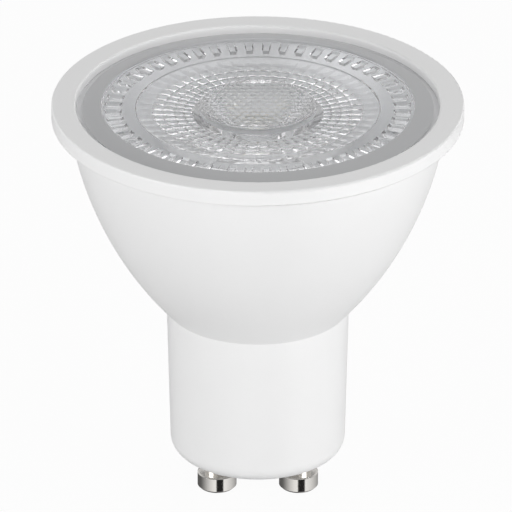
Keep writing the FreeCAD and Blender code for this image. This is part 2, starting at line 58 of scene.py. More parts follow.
# %% [markdown]
# The photograph was taken with a long lens, from about 26 degrees above the table, so its edges hardly
# converge. A camera one and a half metres away with a very long focal length gives the same nearly
# parallel view. The focal length follows from the width that the picture takes in at the lamp.

# %% The camera
PICTURE_SIDE = 512
PIXELS_PER_MM = 8.26
CAMERA_ELEVATION = math.radians(26.0)
CAMERA_DISTANCE = 1.5
SENSOR_WIDTH = 36.0
AIM = Vector((-0.22, -7.75, 35.12)) * MM
CLIP_NEAR = 0.05
CLIP_FAR = 20.0

picture_width = PICTURE_SIDE / PIXELS_PER_MM * MM
view_line = Vector((0, math.cos(CAMERA_ELEVATION), -math.sin(CAMERA_ELEVATION)))
camera_data = bpy.data.cameras.new("camera")
camera_data.sensor_width = SENSOR_WIDTH
camera_data.lens = SENSOR_WIDTH * CAMERA_DISTANCE / picture_width
camera_data.clip_start = CLIP_NEAR
camera_data.clip_end = CLIP_FAR
camera = bpy.data.objects.new("camera", camera_data)
camera.location = AIM - view_line * CAMERA_DISTANCE
camera.rotation_mode = "QUATERNION"
camera.rotation_quaternion = view_line.to_track_quat("-Z", "Y")
bpy.context.scene.collection.objects.link(camera)
bpy.context.scene.camera = camera
bpy.context.scene.view_settings.view_transform = "Standard"
print("focal length in mm:", round(camera_data.lens, 1))

# %% [markdown]
# Small products are lit in a white tent: even light from every side, a few soft boxes that are a little
# stronger, and an open slot beside the camera, below the height of the lamp. The slot matters, because
# bright metal only looks like metal when it has something dark to mirror. The world here is that tent.
# Light Path tells the rays apart: the camera sees plain white, metal and plastic see the tent with its
# slot and its dimmer roof, and everything else is lit evenly. Below the horizon the mirrored tent also
# grows dimmer towards the back, on both sides, which gives round metal its dark edges.

# %% The white tent
TENT_LIGHT = 0.50
ROOF_LIGHT = 0.42
ROOF_EDGE = (0.35, 0.85)
FLOOR_EDGE = (-0.15, -0.02)
SLOT_LIGHT = 0.02
SLOT_FROM = math.radians(-4.0)
SLOT_TO = math.radians(38.0)
SLOT_EDGE = math.radians(3.0)
FRONT_LIGHT = 1.4
BACK_LEFT_LIGHT = 0.12
BACK_RIGHT_LIGHT = 0.4
LEFT_FALL = (math.radians(-120.0), 0.0)
RIGHT_FALL = (math.radians(20.0), math.pi)


def link(tree, source, target):
    tree.links.new(source, target)


def add(tree, kind, sockets=None, **settings):
    """A new node with some of its input sockets and settings filled in."""
    node = tree.nodes.new(kind)
    for name, value in settings.items():
        setattr(node, name, value)
    for name, value in (sockets or {}).items():
        node.inputs[name].default_value = value
    return node


def math_node(tree, operation, first, second=None):
    """One sum. Sockets are linked and plain numbers are set."""
    node = tree.nodes.new("ShaderNodeMath")
    node.operation = operation
    for socket, value in zip(node.inputs, (first, second)):
        if value is None:
            continue
        if isinstance(value, bpy.types.NodeSocket):
            link(tree, value, socket)
        else:
            socket.default_value = value
    return node.outputs[0]


def ramp_between(tree, value, low, high, out_low=0.0, out_high=1.0):
    """A smooth step of value from low to high."""
    node = tree.nodes.new("ShaderNodeMapRange")
    node.interpolation_type = "SMOOTHSTEP"
    link(tree, value, node.inputs["Value"])
    node.inputs["From Min"].default_value = low
    node.inputs["From Max"].default_value = high
    node.inputs["To Min"].default_value = out_low
    node.inputs["To Max"].default_value = out_high
    return node.outputs["Result"]


def white_tent():
    world = bpy.data.worlds.new("white_tent")
    world.use_nodes = True
    tree = world.node_tree
    tree.nodes.clear()
    direction = add(tree, "ShaderNodeTexCoord").outputs["Generated"]
    parts = add(tree, "ShaderNodeSeparateXYZ")
    link(tree, direction, parts.inputs[0])
    towards_camera = math_node(tree, "MULTIPLY", parts.outputs["Y"], -1.0)
    azimuth = math_node(tree, "ARCTAN2", parts.outputs["X"], towards_camera)
    rising = ramp_between(tree, azimuth, SLOT_FROM - SLOT_EDGE, SLOT_FROM + SLOT_EDGE)
    falling = ramp_between(tree, azimuth, SLOT_TO - SLOT_EDGE, SLOT_TO + SLOT_EDGE, 1.0, 0.0)
    below = ramp_between(tree, parts.outputs["Z"], *FLOOR_EDGE, 1.0, 0.0)
    slot = math_node(tree, "MULTIPLY", rising, falling)
    left = ramp_between(tree, azimuth, *LEFT_FALL, BACK_LEFT_LIGHT, 1.0)
    right = ramp_between(tree, azimuth, *RIGHT_FALL, FRONT_LIGHT, BACK_RIGHT_LIGHT)
    around = math_node(tree, "MULTIPLY", math_node(tree, "MULTIPLY", left, right),
                       ramp_between(tree, slot, 0.0, 1.0, 1.0, SLOT_LIGHT))
    height = add(tree, "ShaderNodeMix")
    link(tree, below, height.inputs["Factor"])
    link(tree, ramp_between(tree, parts.outputs["Z"], *ROOF_EDGE, 1.0, ROOF_LIGHT), height.inputs["A"])
    link(tree, around, height.inputs["B"])
    mirrored = height.outputs["Result"]
    path = add(tree, "ShaderNodeLightPath")
    sharp = math_node(tree, "MAXIMUM", path.outputs["Is Glossy Ray"], path.outputs["Is Transmission Ray"])
    lit = add(tree, "ShaderNodeMix")
    link(tree, sharp, lit.inputs["Factor"])
    lit.inputs["A"].default_value = TENT_LIGHT
    link(tree, mirrored, lit.inputs["B"])
    seen = add(tree, "ShaderNodeMix")
    link(tree, path.outputs["Is Camera Ray"], seen.inputs["Factor"])
    link(tree, lit.outputs["Result"], seen.inputs["A"])
    seen.inputs["B"].default_value = 1.0
    background = add(tree, "ShaderNodeBackground")
    link(tree, seen.outputs["Result"], background.inputs["Strength"])
    output = add(tree, "ShaderNodeOutputWorld")
    link(tree, background.outputs[0], output.inputs["Surface"])
    bpy.context.scene.world = world


white_tent()
print("tent light:", TENT_LIGHT)

# %% [markdown]
# The table is a wide pale sheet. Most of what the camera sees of it is plain white, so the picture keeps
# its white ground, and the rest is ordinary matt paint that takes the lamp's soft shadow.

# %% The table
TABLE_SIDE = 6.0
TABLE_WHITE_SHARE = 0.95
TABLE_PAINT = (0.74, 0.74, 0.74, 1.0)


def table_material():
    material = bpy.data.materials.new("pale_table")
    material.use_nodes = True
    tree = material.node_tree
    tree.nodes.clear()
    paint = add(tree, "ShaderNodeBsdfDiffuse", {"Color": TABLE_PAINT})
    white = add(tree, "ShaderNodeEmission")
    path = add(tree, "ShaderNodeLightPath")
    sharp = math_node(tree, "MAXIMUM", path.outputs["Is Glossy Ray"], path.outputs["Is Transmission Ray"])
    direct = math_node(tree, "MAXIMUM", path.outputs["Is Camera Ray"], sharp)
    share = math_node(tree, "MULTIPLY", direct, TABLE_WHITE_SHARE)
    mix = add(tree, "ShaderNodeMixShader")
    link(tree, share, mix.inputs[0])
    link(tree, paint.outputs[0], mix.inputs[1])
    link(tree, white.outputs[0], mix.inputs[2])
    output = add(tree, "ShaderNodeOutputMaterial")
    link(tree, mix.outputs[0], output.inputs["Surface"])
    return material


bpy.ops.object.select_all(action="DESELECT")
bpy.ops.mesh.primitive_plane_add(size=TABLE_SIDE, location=(0, 0, 0))
table = bpy.context.active_object
table.name = "table"
table.data.materials.append(table_material())
table.visible_glossy = False
print("table side in m:", TABLE_SIDE)

# %% [markdown]
# Two low soft boxes shape the white plastic: the stronger one stands in front and to the right, the
# weaker one to the left. A third, small one lights the lens from above and behind. Each is given by its
# azimuth from the camera's side and its elevation in degrees, and by the brightness that it adds to a
# white sheet that faces it. Its power is that brightness times the square of pi times its distance.

# %% The soft boxes
LAMP_CENTRE = Vector((0, 0, 30)) * MM
BOX_DISTANCE = 0.6
FRONT_BOX_SIDE = 0.5
TOP_BOX_SIDE = 0.35


def soft_box(name, azimuth, elevation, side, brightness):
    data = bpy.data.lights.new(name, "AREA")
    data.shape = "SQUARE"
    data.size = side
    data.energy = brightness * (math.pi * BOX_DISTANCE) ** 2
    box = bpy.data.objects.new(name, data)
    turn, rise = math.radians(azimuth), math.radians(elevation)
    away = Vector((math.sin(turn) * math.cos(rise), -math.cos(turn) * math.cos(rise), math.sin(rise)))
    box.location = LAMP_CENTRE + away * BOX_DISTANCE
    box.rotation_mode = "QUATERNION"
    box.rotation_quaternion = (-away).to_track_quat("-Z", "Y")
    bpy.context.scene.collection.objects.link(box)
    return box


key_box = soft_box("key_box", azimuth=56, elevation=3, side=FRONT_BOX_SIDE, brightness=1.03)
fill_box = soft_box("fill_box", azimuth=-58, elevation=3, side=FRONT_BOX_SIDE, brightness=0.86)
soft_box("top_box", azimuth=170, elevation=55, side=TOP_BOX_SIDE, brightness=0.18)

# %% [markdown]
# Moulded plastic is never perfectly even: its gloss changes a little from place to place, and a fine
# spark texture from the mould scatters the light. One shader group holds that grain, and every moulded,
# pressed or printed piece below uses it with its own scale and depth.

# %% A shader group for fine grain
BROAD_SHARE = 0.06
FINE_DETAIL = 3.0
BROAD_DETAIL = 2.0


def grain_group():
    """Colour, roughness and height that vary softly over a surface."""
    group = bpy.data.node_groups.new("fine_grain", "ShaderNodeTree")
    ins = {"Colour": "NodeSocketColor", "Second Colour": "NodeSocketColor", "Scale": "NodeSocketFloat",
           "Mottle": "NodeSocketFloat", "Roughness": "NodeSocketFloat", "Spread": "NodeSocketFloat"}
    for name, kind in ins.items():
        group.interface.new_socket(name=name, in_out="INPUT", socket_type=kind)
    for name, kind in {"Colour": "NodeSocketColor", "Roughness": "NodeSocketFloat",
                       "Height": "NodeSocketFloat"}.items():
        group.interface.new_socket(name=name, in_out="OUTPUT", socket_type=kind)
    start = group.nodes.new("NodeGroupInput")
    end = group.nodes.new("NodeGroupOutput")
    place = add(group, "ShaderNodeTexCoord").outputs["Object"]
    fine = add(group, "ShaderNodeTexNoise", {"Detail": FINE_DETAIL})
    broad = add(group, "ShaderNodeTexNoise", {"Detail": BROAD_DETAIL})
    link(group, place, fine.inputs["Vector"])
    link(group, place, broad.inputs["Vector"])
    link(group, start.outputs["Scale"], fine.inputs["Scale"])
    link(group, math_node(group, "MULTIPLY", start.outputs["Scale"], BROAD_SHARE), broad.inputs["Scale"])
    mottle = math_node(group, "MULTIPLY", broad.outputs[0], start.outputs["Mottle"])
    colours = add(group, "ShaderNodeMixRGB")
    link(group, mottle, colours.inputs["Fac"])
    link(group, start.outputs["Colour"], colours.inputs["Color1"])
    link(group, start.outputs["Second Colour"], colours.inputs["Color2"])
    swing = math_node(group, "SUBTRACT", fine.outputs[0], 0.5)
    rough = math_node(group, "ADD", start.outputs["Roughness"],
                      math_node(group, "MULTIPLY", swing, start.outputs["Spread"]))
    link(group, colours.outputs["Color"], end.inputs["Colour"])
    link(group, rough, end.inputs["Roughness"])
    link(group, fine.outputs[0], end.inputs["Height"])
    return group


fine_grain = grain_group()
print("shader group:", fine_grain.name)

# %% [markdown]
# Each finish is a Principled shader fed by the grain group. A piece's base colour is the one that the
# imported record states, so that the picture and the parts list agree, and a second, darker colour gives
# the slight unevenness of a real surface. The table lists each slot's grain: its scale, its roughness and
# how much that varies, and the strength of its bumps.

# %% Finishes made from the grain
record_colours = {entry["slot"]: tuple(entry["base_color"][:3]) for entry in frame["record"]["materials"]}
GRAIN_DEPTH = 0.000004
MOTTLE = 0.6


def shade(colour, factor):
    return tuple(min(1.0, c * factor) for c in colour[:3]) + (1.0,)


def grained(slot, name, scale, roughness, spread, bump, darker=0.94, metallic=0.0, coat=0.0):
    """A finish with the record's colour for the slot."""
    material = bpy.data.materials.new(name)
    material.use_nodes = True
    tree = material.node_tree
    shader = tree.nodes["Principled BSDF"]
    grain = tree.nodes.new("ShaderNodeGroup")
    grain.node_tree = fine_grain
    base = record_colours[slot]
    settings = {"Colour": shade(base, 1.0), "Second Colour": shade(base, darker), "Scale": scale,
                "Mottle": MOTTLE, "Roughness": roughness, "Spread": spread}
    for socket, value in settings.items():
        grain.inputs[socket].default_value = value
    link(tree, grain.outputs["Colour"], shader.inputs["Base Color"])
    link(tree, grain.outputs["Roughness"], shader.inputs["Roughness"])
    bumps = add(tree, "ShaderNodeBump", {"Strength": bump, "Distance": GRAIN_DEPTH})
    link(tree, grain.outputs["Height"], bumps.inputs["Height"])
    link(tree, bumps.outputs["Normal"], shader.inputs["Normal"])
    shader.inputs["Metallic"].default_value = metallic
    shader.inputs["Coat Weight"].default_value = coat
    return material


GRAINS = {
    "white_bowl": dict(scale=2600, roughness=0.42, spread=0.10, bump=0.5, darker=0.985),
    "white_base": dict(scale=2600, roughness=0.42, spread=0.10, bump=0.5, darker=0.95),
    "nickel_plate": dict(scale=5200, roughness=0.13, spread=0.06, bump=0.25, darker=0.97, metallic=1.0),
    "pressed_aluminium": dict(scale=1800, roughness=0.5, spread=0.16, bump=0.6, metallic=1.0),
    "silicone_pad": dict(scale=1400, roughness=0.62, spread=0.10, bump=0.6),
    "white_solder_mask": dict(scale=1500, roughness=0.33, spread=0.10, bump=0.3),
    "led_ceramic": dict(scale=2200, roughness=0.5, spread=0.10, bump=0.5),
    "phosphor": dict(scale=3600, roughness=0.38, spread=0.12, bump=0.8, darker=0.86),
    "white_silicone": dict(scale=1200, roughness=0.4, spread=0.1, bump=0.3),
    "zinc_steel": dict(scale=3000, roughness=0.28, spread=0.12, bump=0.5, metallic=1.0),
    "green_laminate": dict(scale=900, roughness=0.36, spread=0.1, bump=0.6, darker=0.75),
    "capacitor_sleeve": dict(scale=700, roughness=0.25, spread=0.1, bump=0.3, darker=0.8),
    "capacitor_box": dict(scale=1300, roughness=0.3, spread=0.1, bump=0.3, darker=0.85),
    "chip_resin": dict(scale=3200, roughness=0.55, spread=0.1, bump=0.3, darker=0.8),
    "ferrite": dict(scale=2600, roughness=0.5, spread=0.15, bump=1.0, darker=0.8),
    "enamelled_copper": dict(scale=2400, roughness=0.22, spread=0.1, bump=0.3, darker=0.8, coat=0.6),
    "resistor_lacquer": dict(scale=1600, roughness=0.3, spread=0.1, bump=0.3),
    "white_wire": dict(scale=1500, roughness=0.42, spread=0.1, bump=0.3),
    "red_wire": dict(scale=1500, roughness=0.42, spread=0.1, bump=0.3),
    "black_wire": dict(scale=1500, roughness=0.42, spread=0.1, bump=0.3),
}
finishes = {slot: grained(slot, slot, **grain) for slot, grain in GRAINS.items()}
print("finishes:", len(finishes))

# %% [markdown]
# The lens is clear acrylic, and glass with the refraction of acrylic is the plain way to make it. Two
# additions keep the light in it alive. Shadow rays pass straight through, so the lamps light the cup
# behind the lens. And a little under half of the rays that were mirrored three times inside the plastic
# go straight on, because a render stops counting soon after that and would show black where the real lens
# glitters. The ring near the edge is etched: it scatters the light and lets less of it through. Its satin
# grey is painted shade: an opaque grey stands in for the dark inside of the lamp seen through the ring.

# %% Clear and etched plastic
ACRYLIC_IOR = 1.49
CLEAR_TINT = (0.979, 0.981, 0.987, 1.0)
CLEAR_PASS = (0.975, 0.975, 0.985, 1.0)
# painted shade: this grey stands in for the lamp's dark inside, seen through the etched ring
ETCHED_PAINTED_SHADE = (0.63, 0.635, 0.645, 1.0)
ETCHED_PASS = (0.45, 0.45, 0.46, 1.0)
ETCHED_ROUGHNESS = 0.45
MIRRORED_LIMIT = 2.5
LET_OUT_SHARE = 0.45


def let_lamps_through(material, passing_colour, tired_rays):
    """Shadow rays, and with tired_rays those mirrored too often inside, go straight on."""
    tree = material.node_tree
    passing = add(tree, "ShaderNodeBsdfTransparent", {"Color": passing_colour})
    path = add(tree, "ShaderNodeLightPath")
    straight = path.outputs["Is Shadow Ray"]
    if tired_rays:
        tired = math_node(tree, "GREATER_THAN", path.outputs["Glossy Depth"], MIRRORED_LIMIT)
        straight = math_node(tree, "MAXIMUM", straight, math_node(tree, "MULTIPLY", tired, LET_OUT_SHARE))
    mix = add(tree, "ShaderNodeMixShader")
    link(tree, straight, mix.inputs[0])
    link(tree, tree.nodes["Principled BSDF"].outputs[0], mix.inputs[1])
    link(tree, passing.outputs[0], mix.inputs[2])
    link(tree, mix.outputs[0], tree.nodes["Material Output"].inputs["Surface"])


def acrylic(name, tint, roughness, transmission):
    material = bpy.data.materials.new(name)
    material.use_nodes = True
    shader = material.node_tree.nodes["Principled BSDF"]
    shader.inputs["Base Color"].default_value = tint
    shader.inputs["Roughness"].default_value = roughness
    shader.inputs["IOR"].default_value = ACRYLIC_IOR
    shader.inputs["Transmission Weight"].default_value = transmission
    return material


clear_lens = acrylic("clear_lens", CLEAR_TINT, 0.0, 1.0)
let_lamps_through(clear_lens, CLEAR_PASS, tired_rays=True)
# the etched ring is opaque, and its grey colour is painted shade of the lamp's inside
etched_lens_painted_shade = acrylic("etched_lens_painted_shade", ETCHED_PAINTED_SHADE, ETCHED_ROUGHNESS, 0.0)
let_lamps_through(etched_lens_painted_shade, ETCHED_PASS, tired_rays=False)
print("lens materials:", clear_lens.name, "and", etched_lens_painted_shade.name)

# %% [markdown]
# The lens is one moulding: a plate with a slightly dished top and a disc in its middle, and under it a
# cone that stands over the light source. The plate's underside has a ring of teeth and rows of small
# facets. All of it repeats 52 times round the lamp's axis, so only one narrow slice is modelled, and spin
# repeats it. The slice starts as an outline, drawn by extruding a single vertex from point to point.

# %% The lens outline
COLUMNS = 52
DISC_R = 7.1
DISC_RIM = 0.35
DISC_RISE = 0.05
DISH_R = 15.8
DISH_DEPTH = 0.7
CELL_HEIGHT = 0.14
CELL_PLATEAU = 0.04
ETCHED_FROM_R = 19.0
ETCHED_TO_R = 21.3
ETCHED_DROP = 0.5
BEVEL_DROP = 0.25
EDGE_THICKNESS = 0.65
TEETH_FROM_R = 18.8
TEETH_TO_R = 16.2
TEETH_RISE = 0.2
TOOTH_INSET = 0.27
TOOTH_STEPS = 6
PANEL_TO_R = 14.9
FACETS_FROM_R = 14.75
FACETS_TO_R = 8.0
FACETS_STEP = 0.2
FACETS_DROP = 0.6
FACET_SHARES = (0.0, 0.28, 0.48, 0.67, 0.84, 1.0)
ROW_STEPS = 6
FOOT_R = 4.6
POCKET_R = 3.6
POCKET_TOP_R = 3.3
POCKET_DEPTH = 3.1
POCKET_BULGE = 0.8
RIM_STEPS = 4
CEILING_STEPS = 8

lens_low, lens_high = (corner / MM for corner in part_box("lens"))
cell_base_z = lens_high.z - CELL_HEIGHT
disc_z = cell_base_z - CELL_PLATEAU
plate_z = disc_z - DISC_RISE
bevel_z = plate_z - ETCHED_DROP
edge_z = bevel_z - BEVEL_DROP
flange_z = edge_z - EDGE_THICKNESS
teeth_z = flange_z + TEETH_RISE
foot_z = lens_low.z
flange_r = lens_high.x


def facet_ring(share):
    """Radius and height of a ring of facet corners, from the first ring in to the cone."""
    radius = FACETS_FROM_R + (FACETS_TO_R - FACETS_FROM_R) * share
    return radius, teeth_z - FACETS_STEP - FACETS_DROP * share


rings = [facet_ring(share) for share in FACET_SHARES]
print("lens from z", round(foot_z, 2), "to", round(plate_z, 2), "flange radius", round(flange_r, 2))


def arc_points(centre, radius, start, end, steps):
    """Points along an arc, in degrees, both ends included."""
    angles = [math.radians(start + (end - start) * k / steps) for k in range(steps + 1)]
    return [(centre[0] + radius * math.cos(a), centre[1] + radius * math.sin(a)) for a in angles]


def evenly(start, end, steps):
    """Points from start towards end, without the last one."""
    return [tuple(Vector(start).lerp(Vector(end), k / steps)) for k in range(steps)]


def top_outline():
    """From the disc's edge over the top and down the flange."""
    points = arc_points((DISC_R - DISC_RIM, disc_z - DISC_RIM), DISC_RIM, 90, 0, RIM_STEPS)
    return points + [(DISC_R, plate_z - DISH_DEPTH), (DISH_R, plate_z), (ETCHED_FROM_R, plate_z),
                     (ETCHED_TO_R, bevel_z), (flange_r, edge_z), (flange_r, flange_z)]


def under_outline():
    """From the flange inwards under the teeth and the facets to the cone."""
    tooth_from, tooth_to = (TEETH_FROM_R - TOOTH_INSET, teeth_z), (TEETH_TO_R + TOOTH_INSET, teeth_z)
    points = [(TEETH_FROM_R + TEETH_RISE, flange_z), (TEETH_FROM_R, teeth_z)]
    points += evenly(tooth_from, tooth_to, TOOTH_STEPS)
    points += [tooth_to, (TEETH_TO_R, teeth_z), (PANEL_TO_R, teeth_z)]
    for high, low in zip(rings, rings[1:]):
        points += evenly(high, low, ROW_STEPS)
    return points + [rings[-1]]


def pocket_outline():
    """From the cone's foot up the pocket over the light source, to the middle of its bulging ceiling."""
    ceiling_z = foot_z + POCKET_DEPTH
    bulge_r = (POCKET_TOP_R ** 2 + POCKET_BULGE ** 2) / (2 * POCKET_BULGE)
    edge = math.degrees(math.asin(POCKET_TOP_R / bulge_r))
    bulge = arc_points((0, ceiling_z - POCKET_BULGE + bulge_r), bulge_r, -90 + edge, -90, CEILING_STEPS)
    return [(FOOT_R, foot_z), (POCKET_R, foot_z)] + bulge[:-1] + [(0, bulge[-1][1])]


lens_outline = top_outline() + under_outline() + pocket_outline()
print("points in the outline:", len(lens_outline))

# %% [markdown]
# A vertex is extruded along the outline as a wire, and the wire is spun about the lamp's axis, with a few
# steps inside the slice so that what lies in it can be shaped.

# %% One slice
SLICE_STEPS = 8


def start_from_vertex(name, point):
    """A new piece that is a single vertex, ready to be extruded."""
    bpy.ops.object.select_all(action="DESELECT")
    bpy.ops.mesh.primitive_plane_add(size=MM, location=point)
    bpy.context.active_object.name = name
    bpy.ops.object.transform_apply(location=True, rotation=False, scale=False)
    bpy.ops.object.mode_set(mode="EDIT")
    bpy.ops.mesh.select_all(action="SELECT")
    bpy.ops.mesh.merge(type="CENTER")
    return bpy.context.active_object


def slice_of(name, outline):
    """One of the equal slices round the lamp's axis, turned from an outline in mm."""
    points = [Vector((radius, 0, z)) * MM for radius, z in outline]
    piece = start_from_vertex(name, points[0])
    for here, there in zip(points, points[1:]):
        bpy.ops.mesh.extrude_region_move(TRANSFORM_OT_translate={"value": there - here})
    bpy.ops.mesh.select_all(action="SELECT")
    bpy.ops.mesh.spin(steps=SLICE_STEPS, angle=2 * math.pi / COLUMNS, center=(0, 0, 0), axis=(0, 0, 1))
    bpy.ops.object.mode_set(mode="OBJECT")
    print(name, "slice:", len(piece.data.polygons), "faces")
    return piece


lens = slice_of("faceted_lens", lens_outline)

# %% [markdown]
# Under the outer zone stands a ring of teeth, small raised pads that catch the light. In the slice, the
# middle faces of the ring are extruded downwards and drawn in a little, which gives one pad with sloping
# sides.

# %% One tooth
TOOTH_WIDTH_SHARE = 0.5
TOOTH_HEIGHT = 0.45
TOOTH_TAPER = 0.7
NEAR = 0.002


def polar(point):
    """A point's radius, and its place across a slice from 0 to 1."""
    return math.hypot(point.x, point.y), math.atan2(abs(point.y), point.x) * COLUMNS / (2 * math.pi)


def in_tooth(polygon):
    radius, across = polar(polygon.center / MM)
    level = abs(polygon.center.z / MM - teeth_z) < NEAR
    in_ring = TEETH_TO_R + TOOTH_INSET < radius < TEETH_FROM_R - TOOTH_INSET
    return level and in_ring and abs(across - 0.5) < TOOTH_WIDTH_SHARE / 2


def raise_tooth(piece):
    bpy.ops.object.select_all(action="DESELECT")
    piece.select_set(True)
    bpy.context.view_layer.objects.active = piece
    bpy.ops.object.mode_set(mode="EDIT")
    bpy.ops.mesh.select_mode(type="FACE")
    bpy.ops.mesh.select_all(action="DESELECT")
    bpy.ops.object.mode_set(mode="OBJECT")
    chosen = [polygon for polygon in piece.data.polygons if in_tooth(polygon)]
    middle = sum((polygon.center for polygon in chosen), Vector()) / len(chosen)
    for polygon in chosen:
        polygon.select = True
    bpy.ops.object.mode_set(mode="EDIT")
    bpy.ops.mesh.extrude_region_move(TRANSFORM_OT_translate={"value": (0, 0, -TOOTH_HEIGHT * MM)})
    bpy.ops.transform.resize(value=(TOOTH_TAPER, TOOTH_TAPER, 1), center_override=middle)
    bpy.ops.object.mode_set(mode="OBJECT")
    print("faces in a tooth:", len(chosen))


raise_tooth(lens)

# %% [markdown]
# A moulded facet is not a flat pane: across, it bulges like a shallow barrel, so it mirrors a bright spot
# of the light source instead of a whole flat patch, which is what makes a real lens glitter. Every point
# inside a facet is moved out along the facet's normal, most along its middle line and not at all on its
# sides. The edges between facets are marked sharp, so that the shading breaks there and stays smooth
# between them.

# %% Bulging facets
LONG_BULGE = 0.02
SHORT_BULGE = 0.08
BULGE_END_SHARE = 1.01 / ROW_STEPS
LINE_SHARE = 0.01


def facet_place(point):
    """Where a point in mm lies on the facets: its row, and its shares across and along the facet."""
    radius, across = polar(point)
    if radius > rings[0][0] + NEAR or point.z < rings[-1][1] - NEAR or point.z > rings[0][1] + NEAR:
        return None
    for row, (high, low) in enumerate(zip(rings, rings[1:])):
        if radius >= low[0] - NEAR:
            return row, across, min(1.0, max(0.0, (high[0] - radius) / (high[0] - low[0])))
    return None


def facet_normal(point):
    """The outward direction of the facets' cone at the point's own angle."""
    along = (Vector(rings[-1]) - Vector(rings[0])).normalized()
    radial = Vector((point.x, point.y, 0)).normalized()
    return radial * -along.y + Vector((0, 0, along.x))


def bulge_facets(piece):
    for vertex in piece.data.vertices:
        point = vertex.co / MM
        place = facet_place(point)
        if place is None:
            continue
        row, across, along = place
        rise = (SHORT_BULGE if row else LONG_BULGE) * 4 * across * (1 - across)
        rise *= min(1.0, along / BULGE_END_SHARE, (1 - along) / BULGE_END_SHARE)
        vertex.co += facet_normal(point) * rise * MM


def on_line(share):
    return min(share, 1 - share) < LINE_SHARE


def sharpen_facets(piece):
    """Marks the edges between facets sharp. It has to run before the facets bulge."""
    for edge in piece.data.edges:
        ends = [piece.data.vertices[v].co / MM for v in edge.vertices]
        middle = facet_place((ends[0] + ends[1]) / 2)
        if middle is None:
            continue
        radii = [polar(end)[0] for end in ends]
        along_ring = abs(radii[0] - radii[1]) < NEAR
        edge.use_edge_sharp = on_line(middle[2]) if along_ring else on_line(middle[1])


sharpen_facets(lens)
bulge_facets(lens)

# %% [markdown]
# Spin with duplicates repeats the slice all the way round. The slices share their side points exactly, so
# a merge by distance turns them into one skin, open only where the disc's honeycomb comes.

# %% All the slices
MERGE_DISTANCE = 0.0005 * MM


def edit(piece):
    """Edit mode on one piece alone, with all of it selected."""
    bpy.ops.object.select_all(action="DESELECT")
    piece.select_set(True)
    bpy.context.view_layer.objects.active = piece
    bpy.ops.object.mode_set(mode="EDIT")
    bpy.ops.mesh.select_all(action="SELECT")


def merge_all():
    bpy.ops.mesh.select_all(action="SELECT")
    bpy.ops.mesh.remove_doubles(threshold=MERGE_DISTANCE)


def repeat_round(piece):
    edit(piece)
    bpy.ops.mesh.spin(steps=COLUMNS - 1, dupli=True, angle=2 * math.pi * (COLUMNS - 1) / COLUMNS,
                      center=(0, 0, 0), axis=(0, 0, 1))
    merge_all()
    bpy.ops.object.mode_set(mode="OBJECT")


def open_edge_keys(piece):
    """The edges that have a face on one side only."""
    uses = {}
    for polygon in piece.data.polygons:
        for key in polygon.edge_keys:
            uses[key] = uses.get(key, 0) + 1
    return {key for key, count in uses.items() if count != 2}


def select_open_edges(piece):
    """Edit mode, with the open edges selected."""
    edit(piece)
    bpy.ops.mesh.select_mode(type="EDGE")
    bpy.ops.mesh.select_all(action="DESELECT")
    bpy.ops.object.mode_set(mode="OBJECT")
    keys = open_edge_keys(piece)
    for edge in piece.data.edges:
        edge.select = tuple(sorted(edge.vertices)) in keys
    bpy.ops.object.mode_set(mode="EDIT")


repeat_round(lens)
print("lens skin:", len(lens.data.polygons), "faces,", len(open_edge_keys(lens)), "open edges")

# %% [markdown]
# The disc in the middle is a honeycomb of tiny lenses that blend the light. Each one is the cap of a
# small sphere, cut to six sides. By hand one would add a sphere, bisect it with six planes and copy what
# is left, and that is what happens here. Neighbours meet exactly along their curved edges, because both
# caps are cut alike.

# %% One honeycomb cell
CELL_PITCH = 1.05
CELL_SEGMENTS = 12
CELL_RINGS = 26
CUT_THRESHOLD = 0.00001 * MM

cell_corner_r = CELL_PITCH / math.sqrt(3)
cell_sphere_r = (cell_corner_r ** 2 + CELL_HEIGHT ** 2) / (2 * CELL_HEIGHT)
cell_centre_z = lens_high.z - cell_sphere_r


def honeycomb_cell():
    bpy.ops.object.select_all(action="DESELECT")
    bpy.ops.mesh.primitive_uv_sphere_add(segments=CELL_SEGMENTS, ring_count=CELL_RINGS,
                                         radius=cell_sphere_r * MM, location=(0, 0, cell_centre_z * MM))
    cell = bpy.context.active_object
    bpy.ops.object.transform_apply(location=True, rotation=False, scale=False)
    bpy.ops.object.mode_set(mode="EDIT")
    bpy.ops.mesh.select_all(action="SELECT")
    bpy.ops.mesh.bisect(plane_co=(0, 0, cell_centre_z * MM), plane_no=(0, 0, -1), clear_outer=True,
                        threshold=CUT_THRESHOLD)
    for side in range(6):
        angle = side * math.pi / 3
        outwards = Vector((math.cos(angle), math.sin(angle), 0))
        bpy.ops.mesh.select_all(action="SELECT")
        bpy.ops.mesh.bisect(plane_co=outwards * CELL_PITCH / 2 * MM, plane_no=outwards, clear_outer=True,
                            threshold=CUT_THRESHOLD)
    bpy.ops.object.mode_set(mode="OBJECT")
    return cell


cell = honeycomb_cell()
print("cell:", len(cell.data.polygons), "faces")

# %% [markdown]
# The cells stand in rows half a pitch apart, and the field of them is larger than the disc. Its ragged
# edge is drawn down and closed underneath, which makes it a solid. A boolean with a cylinder then trims
# it to a round, as the moulding tool's round insert does. Last, its underside goes, and the narrow ring
# between the round field and the disc's rim is filled.

# %% The honeycomb field
FIELD_MARGIN = 0.05
FIELD_R = DISC_R - DISC_RIM - FIELD_MARGIN
FIELD_SIDES = 120
TRIM_HEIGHT = 2.0
FACING_DOWN = -0.9


def cell_centres():
    """Centres in mm of the cells that reach into the field, row by row."""
    row_step = CELL_PITCH * math.sqrt(3) / 2
    limit = FIELD_R + cell_corner_r
    rows = int(limit / row_step) + 1
    columns = int(limit / CELL_PITCH) + 1
    centres = []
    for row in range(-rows, rows + 1):
        for column in range(-columns, columns + 1):
            centre = Vector((column * CELL_PITCH + CELL_PITCH / 2 * (row % 2), row * row_step, 0))
            if centre.length <= limit:
                centres.append(centre)
    return centres


